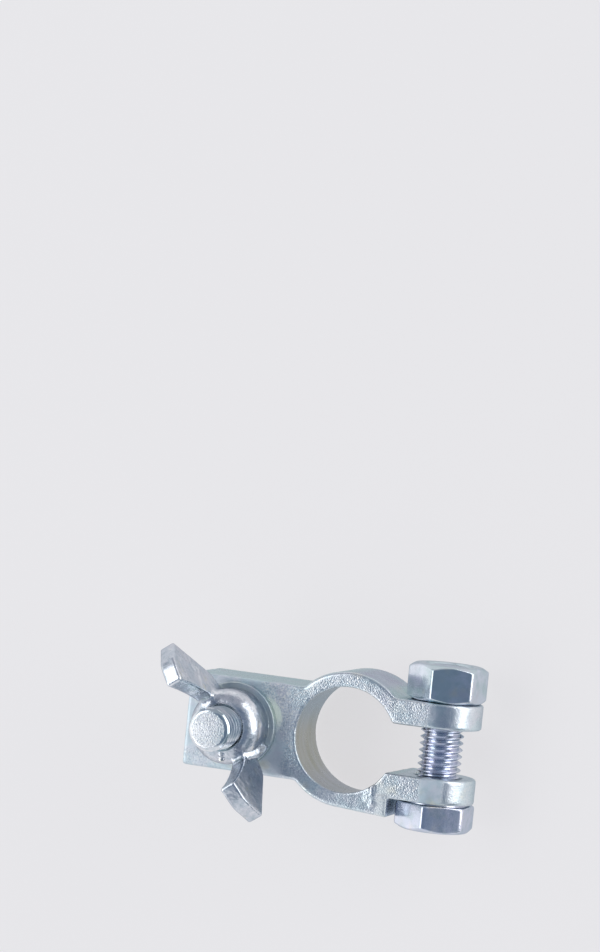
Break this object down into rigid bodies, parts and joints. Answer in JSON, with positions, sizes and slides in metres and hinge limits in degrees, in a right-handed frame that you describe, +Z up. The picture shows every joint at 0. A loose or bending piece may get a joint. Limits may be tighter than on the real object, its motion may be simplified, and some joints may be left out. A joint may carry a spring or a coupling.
{
  "type": "battery terminal clamp",
  "caption": "Split-ring battery post clamp with a cross bolt and nut through its jaws and an upright stud with a wing nut for the cable lug.",
  "frame": {"origin": "on the axis of the post bore, at the underside of the ring", "axes": "+Z up along the post and the stud, +X from the ring towards the jaws, +Y towards the cross bolt's nut"},
  "size_m": [0.056, 0.0314, 0.0328],
  "materials": {
    "cast_zinc_plated": "blasted and zinc plated, bluish",
    "bolt_zinc_plated": "bright zinc plated, bluish",
    "washer_zinc_plated": "bright zinc plated, bluish",
    "wing_zinc_plated": "bright zinc plated, bluish"
  },
  "bodies": {
    "clamp": {"clamp_body": "cast_zinc_plated", "stud_bolt": "bolt_zinc_plated"},
    "cross_bolt": {"pinch_bolt": "bolt_zinc_plated"},
    "cross_nut": {"pinch_nut": "bolt_zinc_plated"},
    "washer": {"stud_washer": "washer_zinc_plated"},
    "wing": {"wing_nut": "wing_zinc_plated"}
  },
  "joints": [
    {"name": "pinch_nut_spin", "type": "hinge", "parent": "clamp", "child": "cross_nut", "pos_m": [0.0164, 0.00885, 0.007], "axis": [0, 1, 0], "range_deg": [0, 1440]},
    {"name": "pinch_bolt_slide", "type": "slide", "parent": "clamp", "child": "cross_bolt", "axis": [0, -1, 0], "range_m": [0, 0.005]},
    {"name": "washer_lift", "type": "slide", "parent": "clamp", "child": "washer", "axis": [0, 0, 1], "range_m": [0, 0.005]},
    {"name": "wing_nut_spin", "type": "hinge", "parent": "washer", "child": "wing", "pos_m": [-0.02135, 0, 0.0156], "axis": [0, 0, 1], "range_deg": [0, 1440]}
  ],
  "couplings": [
    {"joint": "pinch_bolt_slide", "follows": "pinch_nut_spin", "m_per_rad": 0.00019894},
    {"joint": "washer_lift", "follows": "wing_nut_spin", "m_per_rad": 0.00019894}
  ]
}
